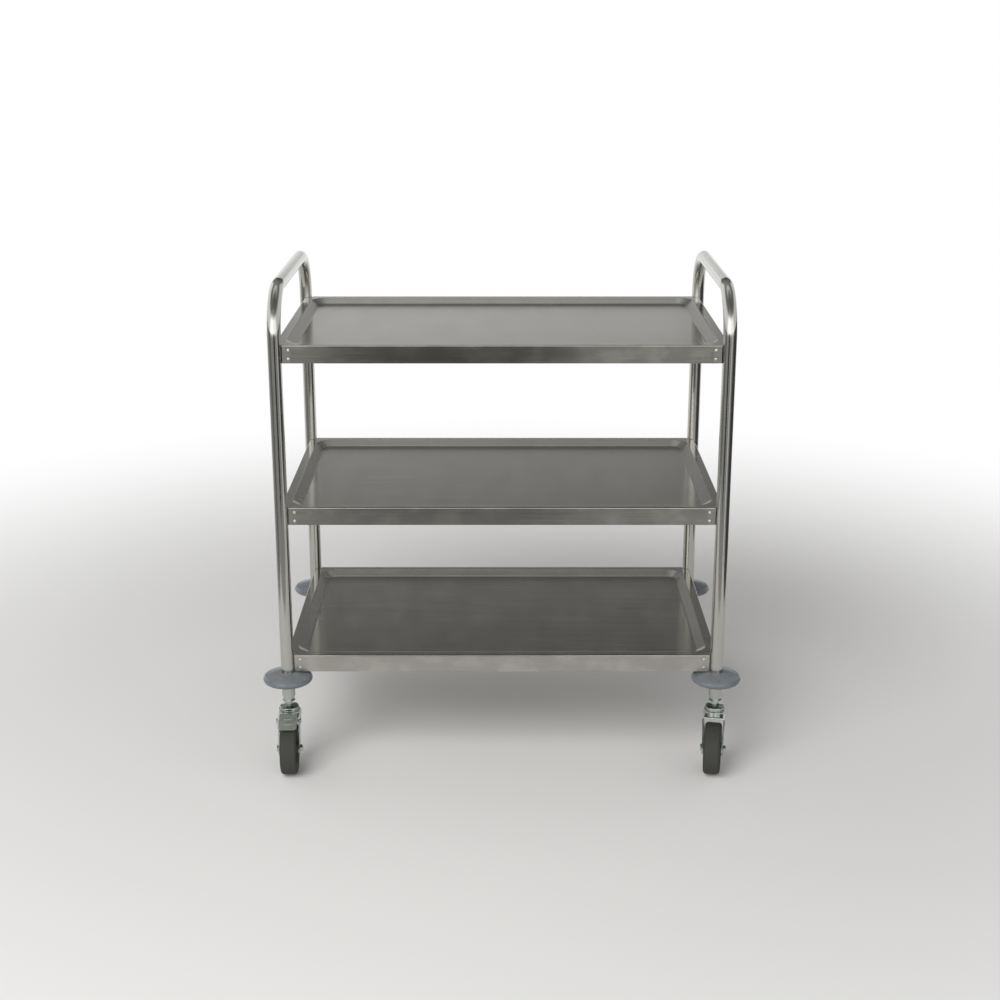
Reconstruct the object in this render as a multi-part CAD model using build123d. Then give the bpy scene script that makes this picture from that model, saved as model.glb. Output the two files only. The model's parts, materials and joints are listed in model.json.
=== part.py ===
from build123d import *
import math
import os

# Service cart in millimetres: X runs along the trays, Y across them, Z up from the floor.

# Bent tube ends
TUBE_D = 25.4
TUBE_WALL = 1.2
LEG_SPACING_X = 830.0
LEG_SPACING_Y = 504.0
HANDLE_TOP_Z = 950.0
HANDLE_BEND_R = 88.0
TUBE_FOOT_Z = 152.0

# Pressed trays
TRAY_RIM_Z = {"top": 841.0, "middle": 531.0, "bottom": 233.0}
TRAY_LENGTH = 832.0
TRAY_WIDTH = 510.0
SHEET = 0.8
SKIRT_H = 34.0
SKIRT_RETURN = 12.0
RIM_W = 17.5
RIM_EDGE_R = 2.2
COVE_CORNER_R = 2.0
COVE_CORNER_MIN_R = 0.5
COVE_GAP = 0.15
DISH_RUN = 17.0
DISH_DROP = 10.0
DISH_MOUTH_R = 35.0
DISH_MOUTH_BEND = 4.0
DISH_FLOOR_BEND = 6.0

# Hat channels under the trays
HAT_LENGTH = 720.0
HAT_SPACING = 220.0
HAT_CROWN_W = 26.0
HAT_MOUTH_W = 36.0
HAT_FLANGE_W = 11.0
HAT_H = 16.0

# Tray bolts, from the corner of a tray into its leg
TRAY_BOLT_D = 6.0
TRAY_BOLT_GAP = 0.2
TRAY_BOLT_DROP = 20.0
TRAY_BOLT_TIP = 2.0
TRAY_BOLT_HEAD_AF = 10.0
TRAY_BOLT_HEAD_H = 4.0
TRAY_WASHER_D = 12.0
TRAY_WASHER_T = 1.2
RIVET_NUT_D = 9.0
RIVET_NUT_BULGE_D = 12.4
RIVET_NUT_BULGE = (7.2, 9.6)
RIVET_NUT_SLOPE = 0.6
RIVET_NUT_END = 11.8

# Bumper disc on the foot of each leg
BUMPER_D = 95.0
BUMPER_BORE_GAP = 0.05
BUMPER_Z = 178.0
BUMPER_EDGE_R = 7.0
BUMPER_DOME = 6.0
BUMPER_DOME_MIDDLE = 0.62
BUMPER_COLLAR_D = 38.0
BUMPER_COLLAR_H = 9.0
BUMPER_COLLAR_TAPER = 1.0

# Caster stem, nuts and insert
STEM_D = 12.0
STEM_TOP_Z = 188.0
STEM_RIVET_D = 18.0
STEM_RIVET_Z = (107.0, 109.7)
STEM_HEX_AF = 14.0
STEM_HEX_Z = (129.0, 138.0)
STEM_WASHER_D = 24.0
STEM_WASHER_Z = (138.0, 140.0)
LOCK_NUT_AF = 19.0
LOCK_NUT_Z = (140.0, 149.0)
HEX_CHAMFER = 1.2
INSERT_FLANGE_Z = 149.0
INSERT_TOP_Z = 192.0
INSERT_GAP = 0.02

# Swivel head
CAP_R = 18.8
CAP_WALL = 2.0
CAP_ROUND = 2.0
CAP_NECK_R = 9.0
CAP_SHOULDER_Z = 126.4
CAP_Z = (119.4, 129.0)
CAP_BEAD_R = 20.3
CAP_BEAD_H = 2.2
CAP_BEAD_ROUND = 0.9
RACE_R = 20.0
RACE_BORE_R = 13.5
RACE_TOP_Z = 118.8
RACE_ROUND = 1.5
BALL_RING_R = (13.6, 16.4)
BALL_RING_Z = (119.1, 124.2)

# Fork and wheel, drawn with the wheel trailing along -Y of the stem
TRAIL = 32.0
CASTER_TURN = {"front_left": 3.0, "front_right": -10.0, "rear_left": 172.0, "rear_right": 188.0}
WHEEL_R = 50.0
WHEEL_W = 32.0
FORK_T = 3.0
FORK_CROWN_TOP_Z = 113.0
FORK_CROWN_HALF = 22.0
FORK_LEG_HALF = 20.5
FORK_JOGGLE_Z = (84.0, 104.0)
FORK_BEND_R = 6.0
FORK_FOOT_R = 13.0
FORK_SHOULDER_R = 6.0
FORK_SHOULDER_Y = (-24.0, 16.0)
FORK_SHOULDER_Z = 108.0
SWIVEL_GAP = 0.05
AXLE_D = 8.0
AXLE_HEAD_AF = 13.0
AXLE_HEAD_H = 3.2
AXLE_NUT_H = 5.0
AXLE_THREAD_OVER = 1.0
SLEEVE_D = 12.0
HUB_GAP = 0.05
HUB_SIDE_GAP = 0.5
HUB_BOSS_R = 13.0
HUB_WEB_T = 6.0
HUB_RIM_R = (33.0, 38.0)
HUB_RIM_W = 28.0
HUB_RIBS = 6
HUB_RIB_T = 3.0
HUB_RIB_W = 22.0
TYRE_SHOULDER_R = 6.0
TYRE_FLARE_R = 42.0

# Foot brake on two of the casters: side places are (y, z) from the stem
BRAKED = ("front_left", "rear_right")
BRAKE_PIVOT = (-24.0, 104.5)
BRAKE_LOCK_DEG = 9.0
BRAKE_PIN_D = 5.0
BRAKE_PIN_HEAD_D = 9.0
BRAKE_PIN_HEAD_H = 2.0
BRAKE_PIN_GAP = 0.05
PEDAL_W = 34.0
PEDAL_T = 2.0
PEDAL_BACK = (-30.0, 121.0)
PEDAL_TOE = (-62.0, 103.0)
PEDAL_CORNER_R = 7.0
PEDAL_BARS = (0.3, 0.63)
PEDAL_BAR = (18.0, 4.0, 1.4)
PEDAL_EAR_T = 2.0
PEDAL_EAR_R = 4.0
PEDAL_EAR_NECK = (-31.0, 108.5)
PAD_Y = (-47.0, -37.0)
PAD_W = 20.0
PAD_LOCK_GAP = 0.6

# Worked out from the sizes above
TUBE_R = TUBE_D / 2
LEG_X = LEG_SPACING_X / 2
LEG_Y = LEG_SPACING_Y / 2
LEG_PLACES = [(sx * LEG_X, sy * LEG_Y) for sx in (-1, 1) for sy in (-1, 1)]
COVE_R = TUBE_R + COVE_GAP
CROWN_UNDER_Z = FORK_CROWN_TOP_Z - FORK_T
LEG_INNER = FORK_LEG_HALF - FORK_T
CASTERS = {
    "front_left": (-LEG_X, -LEG_Y),
    "front_right": (LEG_X, -LEG_Y),
    "rear_left": (-LEG_X, LEG_Y),
    "rear_right": (LEG_X, LEG_Y),
}


def turned(points):
    """Solid of revolution about Z from (radius, height) corners."""
    return revolve(Plane.XZ * make_face(Polyline(*points, close=True)), Axis.Z)


def hexagon_prism(across_flats, low, high, bore_d=0.0):
    """Hexagonal nut or head between two heights, its corners turned off at both ends."""
    prism = extrude(RegularPolygon(across_flats / 2, 6, major_radius=False), high - low)
    corner_r = across_flats / math.sqrt(3)
    cone = turned(
        [
            (0, 0),
            (corner_r - HEX_CHAMFER, 0),
            (corner_r, HEX_CHAMFER / 2),
            (corner_r, high - low - HEX_CHAMFER / 2),
            (corner_r - HEX_CHAMFER, high - low),
            (0, high - low),
        ]
    )
    nut = prism & cone
    if bore_d:
        nut -= extrude(Circle(bore_d / 2), high - low)
    return Pos(0, 0, low) * nut


def washer(outer_d, bore_d, low, high):
    """Flat ring between two heights."""
    return Pos(0, 0, low) * extrude(Circle(outer_d / 2) - Circle(bore_d / 2), high - low)


def tray_bolt_places(rim_z):
    """Planes of one tray's corner bolts: origin on the leg's axis, Z towards the middle of the tray."""
    height = rim_z - TRAY_BOLT_DROP
    return [Plane((x, y, height), z_dir=(-x / LEG_X, -y / LEG_Y, 0)) for x, y in LEG_PLACES]


def tube_end(side):
    """Inverted U of round tube, drilled on its inner side for the tray bolts."""
    x = side * LEG_X
    bar_z = HANDLE_TOP_Z - TUBE_R
    route = FilletPolyline(
        (x, -LEG_Y, TUBE_FOOT_Z),
        (x, -LEG_Y, bar_z),
        (x, LEG_Y, bar_z),
        (x, LEG_Y, TUBE_FOOT_Z),
        radius=HANDLE_BEND_R,
    )
    ring = Circle(TUBE_R) - Circle(TUBE_R - TUBE_WALL)
    tube = sweep(Pos(x, -LEG_Y, TUBE_FOOT_Z) * ring, path=route)
    drill = extrude(Circle(RIVET_NUT_D / 2), TUBE_D)
    for rim_z in TRAY_RIM_Z.values():
        tube -= [place * drill for place in tray_bolt_places(rim_z) if place.origin.X * side > 0]
    return tube


def tray_plan(inset):
    """Tray outline drawn in by inset, with a cove at each corner that wraps the leg."""
    plan = Rectangle(TRAY_LENGTH - 2 * inset, TRAY_WIDTH - 2 * inset)
    plan -= [Pos(x, y) * Circle(COVE_R + inset) for x, y in LEG_PLACES]
    return fillet(plan.vertices(), max(COVE_CORNER_R - inset, COVE_CORNER_MIN_R))


def dish(drop):
    """Recess of the tray, moved down by drop and widened so that the sheet keeps its thickness."""
    widen = drop * math.tan(math.atan2(DISH_DROP, DISH_RUN) / 2)
    length = TRAY_LENGTH - 2 * RIM_W + 2 * widen
    width = TRAY_WIDTH - 2 * RIM_W + 2 * widen
    mouth_r = DISH_MOUTH_R + widen
    mouth = RectangleRounded(length, width, mouth_r)
    floor = RectangleRounded(length - 2 * DISH_RUN, width - 2 * DISH_RUN, mouth_r - DISH_RUN)
    tool = loft([Pos(0, 0, -drop) * mouth, Pos(0, 0, -drop - DISH_DROP) * floor], ruled=True)
    return fillet(tool.faces().sort_by(Axis.Z)[0].edges(), DISH_FLOOR_BEND + drop)


def tray_block(skin):
    """Tray as if filled solid below its top, pared down by skin: the sheet lies between two of these."""
    block = extrude(tray_plan(skin), -SKIRT_H)
    block = fillet(block.faces().sort_by(Axis.Z)[-1].edges(), RIM_EDGE_R - skin)
    block = Pos(0, 0, -skin) * block - dish(skin)
    mouth = block.faces().sort_by(Axis.Z)[-1].inner_wires()[0]
    return fillet(mouth.edges(), DISH_MOUTH_BEND - skin)


def tray(rim_z):
    """Pressed sheet tray: rolled rim, dished floor, skirt with its bottom edge returned inwards."""
    sheet = tray_block(0.0) - tray_block(SHEET)
    hem = extrude(tray_plan(0.0) - tray_plan(SKIRT_RETURN), SHEET)
    sheet += Pos(0, 0, -SKIRT_H) * hem
    drill = extrude(Circle(TRAY_BOLT_D / 2 + TRAY_BOLT_GAP), TUBE_D)
    return Pos(0, 0, rim_z) * sheet - [place * drill for place in tray_bolt_places(rim_z)]


def hat_channel(rim_z, y):
    """Hat-section stiffener welded by its flanges to the underside of a tray floor."""
    top = rim_z - DISH_DROP - SHEET
    crown = HAT_CROWN_W / 2
    mouth = HAT_MOUTH_W / 2
    outer = Polyline((-mouth, 0), (-crown, -HAT_H), (crown, -HAT_H), (mouth, 0), close=True)
    inner = Polyline(
        (SHEET - mouth, 0),
        (SHEET - crown, SHEET - HAT_H),
        (crown - SHEET, SHEET - HAT_H),
        (mouth - SHEET, 0),
        close=True,
    )
    section = make_face(outer) - make_face(inner)
    for side in (-1, 1):
        flange_y = side * (mouth + HAT_FLANGE_W / 2 - SHEET)
        section += Pos(flange_y, -SHEET / 2) * Rectangle(HAT_FLANGE_W, SHEET)
    return Pos(-HAT_LENGTH / 2, y, top) * extrude(Plane.YZ * section, HAT_LENGTH)


def tray_bolt():
    """Hex bolt along Z, its head on the tray side and its tip inside the leg."""
    seat = COVE_R + SHEET + TRAY_WASHER_T
    shank = Pos(0, 0, TRAY_BOLT_TIP) * extrude(Circle(TRAY_BOLT_D / 2), seat - TRAY_BOLT_TIP)
    return shank + hexagon_prism(TRAY_BOLT_HEAD_AF, seat, seat + TRAY_BOLT_HEAD_H)


def rivet_nut():
    """Threaded sleeve clinched in the wall of the leg, bulged behind it."""
    sleeve_r = RIVET_NUT_D / 2
    bulge_r = RIVET_NUT_BULGE_D / 2
    bore_r = TRAY_BOLT_D / 2
    low, high = RIVET_NUT_BULGE
    return turned(
        [
            (bore_r, TRAY_BOLT_TIP),
            (sleeve_r, TRAY_BOLT_TIP),
            (sleeve_r, low),
            (bulge_r, low + RIVET_NUT_SLOPE),
            (bulge_r, high),
            (sleeve_r, high),
            (sleeve_r, RIVET_NUT_END),
            (bore_r, RIVET_NUT_END),
        ]
    )


def bumper():
    """Rubber disc with a low dome, a round edge and a gripping collar below."""
    bore_r = TUBE_R + BUMPER_BORE_GAP
    edge_r = BUMPER_D / 2 - BUMPER_EDGE_R
    edge_z = BUMPER_Z + BUMPER_EDGE_R
    top_z = edge_z + BUMPER_EDGE_R
    crown_z = top_z + BUMPER_DOME
    collar_r = BUMPER_COLLAR_D / 2
    collar_z = BUMPER_Z - BUMPER_COLLAR_H
    foot_r = collar_r - BUMPER_COLLAR_TAPER
    outline = Line((bore_r, collar_z), (foot_r, collar_z))
    outline += Line((foot_r, collar_z), (collar_r, BUMPER_Z))
    outline += Line((collar_r, BUMPER_Z), (edge_r, BUMPER_Z))
    outline += ThreePointArc((edge_r, BUMPER_Z), (edge_r + BUMPER_EDGE_R, edge_z), (edge_r, top_z))
    middle = ((edge_r + bore_r) / 2, top_z + BUMPER_DOME_MIDDLE * BUMPER_DOME)
    outline += ThreePointArc((edge_r, top_z), middle, (bore_r, crown_z))
    outline += Line((bore_r, crown_z), (bore_r, collar_z))
    return revolve(Plane.XZ * make_face(outline), Axis.Z)


def stem():
    """Stud with a hex collar: screwed into the leg above, riveted over below the fork crown."""
    rod = Pos(0, 0, STEM_RIVET_Z[0]) * extrude(Circle(STEM_D / 2), STEM_TOP_Z - STEM_RIVET_Z[0])
    rod += hexagon_prism(STEM_HEX_AF, *STEM_HEX_Z)
    return rod + washer(STEM_RIVET_D, STEM_D, *STEM_RIVET_Z)


def insert():
    """Flanged plug inside the foot of a leg, threaded for the stem."""
    plug_r = TUBE_R - TUBE_WALL - INSERT_GAP
    bore_r = STEM_D / 2
    return turned(
        [
            (bore_r, INSERT_FLANGE_Z),
            (TUBE_R, INSERT_FLANGE_Z),
            (TUBE_R, TUBE_FOOT_Z),
            (plug_r, TUBE_FOOT_Z),
            (plug_r, INSERT_TOP_Z),
            (bore_r, INSERT_TOP_Z),
        ]
    )


def swivel_cap():
    """Pressed cup over the balls with a bead round its mouth, held under the hex collar of the stem."""
    low, high = CAP_Z
    bore_r = STEM_D / 2
    hollow_r = CAP_R - CAP_WALL
    cup = turned([(bore_r, low), (CAP_R, low), (CAP_R, CAP_SHOULDER_Z), (CAP_NECK_R, high), (bore_r, high)])
    shoulder = cup.edges().filter_by(GeomType.CIRCLE).group_by(Axis.Z)[1]
    cup = fillet(shoulder, CAP_ROUND)
    bead = washer(2 * CAP_BEAD_R, 2 * hollow_r, low, low + CAP_BEAD_H)
    rims = bead.edges().filter_by(GeomType.CIRCLE).group_by(SortBy.RADIUS)[-1]
    hollow = Pos(0, 0, low) * extrude(Circle(hollow_r), BALL_RING_Z[1] - low)
    return cup + fillet(rims, CAP_BEAD_ROUND) - hollow


def ball_ring():
    """Ring of the swivel's balls in their cage."""
    inner_r, outer_r = BALL_RING_R
    low, high = BALL_RING_Z
    return washer(2 * outer_r, 2 * inner_r, low, high)


def fork(braked):
    """Pressed fork: bent strip with joggled legs, cut to its side outline, the lower race on its crown."""
    low, high = FORK_JOGGLE_Z
    strip = Polyline(
        (-FORK_LEG_HALF, 0),
        (-FORK_LEG_HALF, low),
        (-FORK_CROWN_HALF, high),
        (-FORK_CROWN_HALF, FORK_CROWN_TOP_Z),
        (FORK_CROWN_HALF, FORK_CROWN_TOP_Z),
        (FORK_CROWN_HALF, high),
        (FORK_LEG_HALF, low),
        (FORK_LEG_HALF, 0),
        close=True,
    )
    front = make_face(strip)
    front = fillet(front.vertices().group_by(Axis.Y)[-1], FORK_BEND_R)
    front -= offset(front, -FORK_T)
    foot = Pos(-TRAIL, WHEEL_R) * Circle(FORK_FOOT_R)
    shoulders = [Pos(y, FORK_SHOULDER_Z) * Circle(FORK_SHOULDER_R) for y in FORK_SHOULDER_Y]
    edges = foot.edges()
    for shoulder in shoulders:
        edges += shoulder.edges()
    side = make_hull(edges)
    span = 2 * FORK_CROWN_HALF
    bent = extrude(Plane.XZ * front, 2 * span, both=True) & extrude(Plane.YZ * side, span, both=True)
    race = washer(2 * RACE_R, 2 * RACE_BORE_R, CROWN_UNDER_Z, RACE_TOP_Z)
    race = fillet(race.edges().group_by(Axis.Z)[-1].sort_by(SortBy.RADIUS)[-1], RACE_ROUND)
    bent += race
    bent -= Pos(0, 0, WHEEL_R) * extrude(Circle(STEM_D / 2 + SWIVEL_GAP), span * 2)
    bent -= across(-TRAIL, WHEEL_R, AXLE_D, -span, span)
    if braked:
        bent -= across(*BRAKE_PIVOT, BRAKE_PIN_D, -span, span)
    return bent


def across(y, z, diameter, start, end):
    """Cylinder along X at a side place."""
    return Pos(start, y, z) * extrude(Plane.YZ * Circle(diameter / 2), end - start)


def on_axle(shape):
    """Turns a piece drawn about Z onto the axle, which lies along X."""
    return Pos(0, -TRAIL, WHEEL_R) * Rot(0, 90, 0) * shape


def axle_bolt():
    """Hex bolt through the fork, its head on one leg."""
    seat = FORK_LEG_HALF
    reach = seat + AXLE_NUT_H + AXLE_THREAD_OVER
    shank = Pos(0, 0, -seat) * extrude(Circle(AXLE_D / 2), seat + reach)
    return on_axle(shank + hexagon_prism(AXLE_HEAD_AF, -seat - AXLE_HEAD_H, -seat))


def axle_nut():
    """Lock nut on the other leg."""
    return on_axle(hexagon_prism(AXLE_HEAD_AF, FORK_LEG_HALF, FORK_LEG_HALF + AXLE_NUT_H, AXLE_D))


def axle_sleeve():
    """Spacer tube clamped between the legs, which the wheel turns on."""
    return on_axle(washer(SLEEVE_D, AXLE_D, -LEG_INNER, LEG_INNER))


def wheel_hub():
    """Moulded wheel centre: boss, web and rim with radial ribs on both sides."""
    boss = LEG_INNER - HUB_SIDE_GAP
    inner_r, outer_r = HUB_RIM_R
    hub = washer(2 * HUB_BOSS_R, SLEEVE_D, -boss, boss)
    hub += washer(2 * outer_r, SLEEVE_D, -HUB_WEB_T / 2, HUB_WEB_T / 2)
    hub += washer(2 * outer_r, 2 * inner_r, -HUB_RIM_W / 2, HUB_RIM_W / 2)
    reach = (inner_r + outer_r) / 2
    rib = Pos(reach / 2, 0, 0) * Box(reach, HUB_RIB_T, HUB_RIB_W)
    hub += [Rot(0, 0, turn * 360 / HUB_RIBS) * rib for turn in range(HUB_RIBS)]
    bore = Cylinder(SLEEVE_D / 2 + HUB_GAP, 2 * boss)
    return on_axle(hub - bore)


def tyre():
    """Solid rubber tyre with rounded shoulders on the rim of the hub."""
    half = WHEEL_W / 2
    seat = HUB_RIM_W / 2
    seat_r = HUB_RIM_R[1]
    section = make_face(
        Polyline(
            (seat_r, -seat),
            (TYRE_FLARE_R, -half),
            (WHEEL_R, -half),
            (WHEEL_R, half),
            (TYRE_FLARE_R, half),
            (seat_r, seat),
            close=True,
        )
    )
    section = fillet(section.vertices().group_by(Axis.X)[-1], TYRE_SHOULDER_R)
    return on_axle(revolve(Plane.XZ * section, Axis.Z))


def pedal_plane():
    """Plane on the pedal's top face: origin at the middle of its back edge, X along it, Y to the toe."""
    run = PEDAL_TOE[0] - PEDAL_BACK[0]
    fall = PEDAL_TOE[1] - PEDAL_BACK[1]
    return Plane((0, *PEDAL_BACK), x_dir=(1, 0, 0), z_dir=(0, fall, -run))


def brake_pedal():
    """Stamped pedal: a plate with two raised bars, hung by two ears on the pivot pin."""
    length = math.dist(PEDAL_BACK, PEDAL_TOE)
    top = pedal_plane()
    plate = Pos(0, -length / 2) * Rectangle(PEDAL_W, length)
    plate = fillet(plate.vertices().group_by(Axis.Y)[0], PEDAL_CORNER_R)
    pedal = top * extrude(plate, -PEDAL_T)
    bar_w, bar_l, bar_h = PEDAL_BAR
    bar = extrude(SlotOverall(bar_w, bar_l), bar_h)
    pedal += [top * Pos(0, -share * length, 0) * bar for share in PEDAL_BARS]
    return pedal + [ear(side) for side in (-1, 1)] - brake_pin_hole()


def ear(side):
    """Side flange of the pedal, round about the pivot pin."""
    back_y, back_z = PEDAL_BACK
    toe_y, toe_z = PEDAL_TOE
    mid = ((back_y + toe_y) / 2, (back_z + toe_z) / 2)
    pivot_y, pivot_z = BRAKE_PIVOT
    outline = make_face(
        Polyline(
            (pivot_y, pivot_z + PEDAL_EAR_R),
            PEDAL_EAR_NECK,
            (back_y, back_z - PEDAL_T),
            (mid[0], mid[1] - PEDAL_T),
            (pivot_y, pivot_z - PEDAL_EAR_R),
            close=True,
        )
    )
    outline += Pos(pivot_y, pivot_z) * Circle(PEDAL_EAR_R)
    flange = extrude(Plane.YZ * outline, PEDAL_EAR_T)
    start = PEDAL_W / 2 - PEDAL_EAR_T if side > 0 else -PEDAL_W / 2
    return Pos(start, 0, 0) * flange


def brake_pin_hole():
    """Running hole of the pedal round the pivot pin."""
    return across(*BRAKE_PIVOT, BRAKE_PIN_D + 2 * BRAKE_PIN_GAP, -PEDAL_W, PEDAL_W)


def brake_pin():
    """Pivot pin across the fork with a riveted head outside each leg."""
    half = FORK_CROWN_HALF
    pin = across(*BRAKE_PIVOT, BRAKE_PIN_D, -half, half)
    for start in (-half - BRAKE_PIN_HEAD_H, half):
        pin += across(*BRAKE_PIVOT, BRAKE_PIN_HEAD_D, start, start + BRAKE_PIN_HEAD_H)
    return pin


def brake_pad():
    """Pad under the pedal, hollowed to lie along the tyre when the pedal is locked."""
    low_y, high_y = PAD_Y
    top = pedal_plane()
    block = Pos(0, (low_y + high_y) / 2, WHEEL_R * 2) * Box(PAD_W, high_y - low_y, WHEEL_R)
    above = top * Pos(0, 0, WHEEL_R - PEDAL_T) * Box(4 * WHEEL_R, 4 * WHEEL_R, 2 * WHEEL_R)
    pivot = Pos(0, *BRAKE_PIVOT)
    locked_tyre = across(-TRAIL, WHEEL_R, 2 * (WHEEL_R + PAD_LOCK_GAP), -WHEEL_R, WHEEL_R)
    released = pivot * Rot(-BRAKE_LOCK_DEG, 0, 0) * pivot.inverse() * locked_tyre
    return block - above - released


def caster_pieces(name):
    """All pieces of one caster about its own stem, keyed by what follows its name."""
    pieces = {
        "bumper": bumper(),
        "stem": stem(),
        "swivel_cap": swivel_cap(),
        "ball_ring": ball_ring(),
        "fork": fork(name in BRAKED),
        "axle_bolt": axle_bolt(),
        "axle_nut": axle_nut(),
        "axle_sleeve": axle_sleeve(),
        "wheel_hub": wheel_hub(),
        "tyre": tyre(),
    }
    if name in BRAKED:
        pieces["brake_pedal"] = brake_pedal()
        pieces["brake_pad"] = brake_pad()
        pieces["brake_pin"] = brake_pin()
    return pieces


def group(solids):
    """Separate like solids as one node."""
    return Compound(children=list(solids))


def build():
    """Every node of the cart by name."""
    bolt_places = [place for rim_z in TRAY_RIM_Z.values() for place in tray_bolt_places(rim_z)]
    seat = COVE_R + SHEET
    nodes = {"left_frame": tube_end(-1), "right_frame": tube_end(1)}
    for tier, rim_z in TRAY_RIM_Z.items():
        nodes[f"{tier}_tray"] = tray(rim_z)
    nodes["tray_stiffeners"] = group(
        hat_channel(rim_z, side * HAT_SPACING / 2) for rim_z in TRAY_RIM_Z.values() for side in (-1, 1)
    )
    nodes["tray_bolts"] = group(place * tray_bolt() for place in bolt_places)
    nodes["tray_washers"] = group(
        place * washer(TRAY_WASHER_D, TRAY_BOLT_D, seat, seat + TRAY_WASHER_T) for place in bolt_places
    )
    nodes["rivet_nuts"] = group(place * rivet_nut() for place in bolt_places)
    nodes["leg_inserts"] = group(Pos(x, y) * insert() for x, y in LEG_PLACES)
    nodes["stem_lock_nuts"] = group(
        Pos(x, y) * hexagon_prism(LOCK_NUT_AF, *LOCK_NUT_Z, STEM_D) for x, y in LEG_PLACES
    )
    nodes["stem_washers"] = group(
        Pos(x, y) * washer(STEM_WASHER_D, STEM_D, *STEM_WASHER_Z) for x, y in LEG_PLACES
    )
    for name, (x, y) in CASTERS.items():
        for piece, solid in caster_pieces(name).items():
            nodes[f"{name}_{piece}"] = Pos(x, y, 0) * Rot(0, 0, CASTER_TURN[name]) * solid
    return nodes


os.makedirs("parts", exist_ok=True)
for node, shape in build().items():
    export_step(shape, f"parts/{node}.step")
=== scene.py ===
import json
import math

import bmesh
import bpy
import numpy as np
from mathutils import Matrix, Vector


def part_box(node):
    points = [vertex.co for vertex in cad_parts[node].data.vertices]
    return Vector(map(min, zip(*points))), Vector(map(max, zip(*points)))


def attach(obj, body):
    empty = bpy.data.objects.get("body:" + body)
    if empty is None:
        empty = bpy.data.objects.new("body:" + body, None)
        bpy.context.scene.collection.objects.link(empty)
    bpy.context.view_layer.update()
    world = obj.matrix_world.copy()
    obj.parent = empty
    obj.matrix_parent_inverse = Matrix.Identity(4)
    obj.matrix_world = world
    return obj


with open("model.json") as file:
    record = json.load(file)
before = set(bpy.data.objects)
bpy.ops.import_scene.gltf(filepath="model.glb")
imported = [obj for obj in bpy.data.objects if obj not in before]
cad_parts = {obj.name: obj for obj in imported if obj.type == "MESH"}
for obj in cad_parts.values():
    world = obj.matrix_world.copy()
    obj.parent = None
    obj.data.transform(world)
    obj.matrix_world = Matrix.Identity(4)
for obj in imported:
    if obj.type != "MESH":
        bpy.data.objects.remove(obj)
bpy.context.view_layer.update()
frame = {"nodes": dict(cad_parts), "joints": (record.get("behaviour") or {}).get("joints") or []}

bl_info = {
    "name": "Service Cart",
    "version": (1, 0, 0),
    "blender": (4, 5, 0),
    "location": "View3D > Sidebar > Service Cart",
    "description": "Finishes, small welds and fastener details of a stainless service cart, and its studio",
    "category": "Object",
}

CASTERS = ("front_left", "front_right", "rear_left", "rear_right")
TRAYS = ("top_tray", "middle_tray", "bottom_tray")
JOINTS = {joint["name"]: joint for joint in frame["joints"]}
STIFFENER_Y = 0.110
FLANGE_OFFSET = 0.0227
FLANGE_DROP = 0.0116
LIP_EDGE = 0.2545
LIP_WELD_DROPS = (0.0095, 0.0260)
BEAD_STEPS = 7
FLANGE_BEAD_STEPS = 3
RING_STEPS = 17
RING_THICKNESS = 0.0006
ROUND_SIDES = 32
FLANGE_SIDES = 12

# Places of the studio's floor, cards and key lamp, in metres
FLOOR_REACH = 2000.0
APRON_Y = -1.12
APRON_Z = 0.001
FLAG_SPAN = ((-0.5, -1.9), (0.2, -1.9))
STRIP_SPAN = ((0.82, -1.2), (0.92, -1.0))
LEFT_PANEL_SPAN = ((-1.35, -0.45), (-1.35, 0.3))
LEFT_SHADE_SPAN = ((-1.35, -1.1), (-1.35, -0.45))
LEFT_SHADE_FRACTION = 0.55
RIGHT_PANEL_SPAN = ((1.35, -0.9), (1.35, 0.6))
CARD_TOP = 0.95
KEY_PLACE = (-1.6, -2.8, 3.2)
KEY_AIM = (0.0, 0.0, 0.4)
KEY_SIZE = (2.4, 2.4)

# Brightness of the soft light by the sine of its elevation: straight behind, beside that, elsewhere
BEHIND = (
    (0.0, 1.05),
    (0.14, 1.05),
    (0.17, 0.96),
    (0.21, 0.80),
    (0.24, 0.60),
    (0.26, 0.26),
    (0.29, 0.04),
    (0.33, 0.36),
    (0.36, 0.08),
    (0.46, 0.08),
    (0.60, 0.25),
    (0.80, 0.35),
    (0.90, 1.00),
    (0.95, 0.72),
    (0.975, 0.46),
    (1.0, 0.26),
)
QUARTER = ((0.0, 1.0), (0.13, 1.0), (0.20, 0.16), (0.34, 0.16), (0.80, 0.35), (0.90, 0.70), (1.0, 0.26))
AROUND = ((0.0, 1.0), (0.09, 1.55), (0.52, 1.55), (0.70, 0.38), (1.0, 0.26))


def linear(code):
    """Linear RGB of an sRGB hex colour, by the usual piecewise curve at 0.04045."""
    value = np.array([int(code[at : at + 2], 16) for at in (1, 3, 5)]) / 255
    return np.where(value <= 0.04045, value / 12.92, ((value + 0.055) / 1.055) ** 2.4).tolist()


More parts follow.
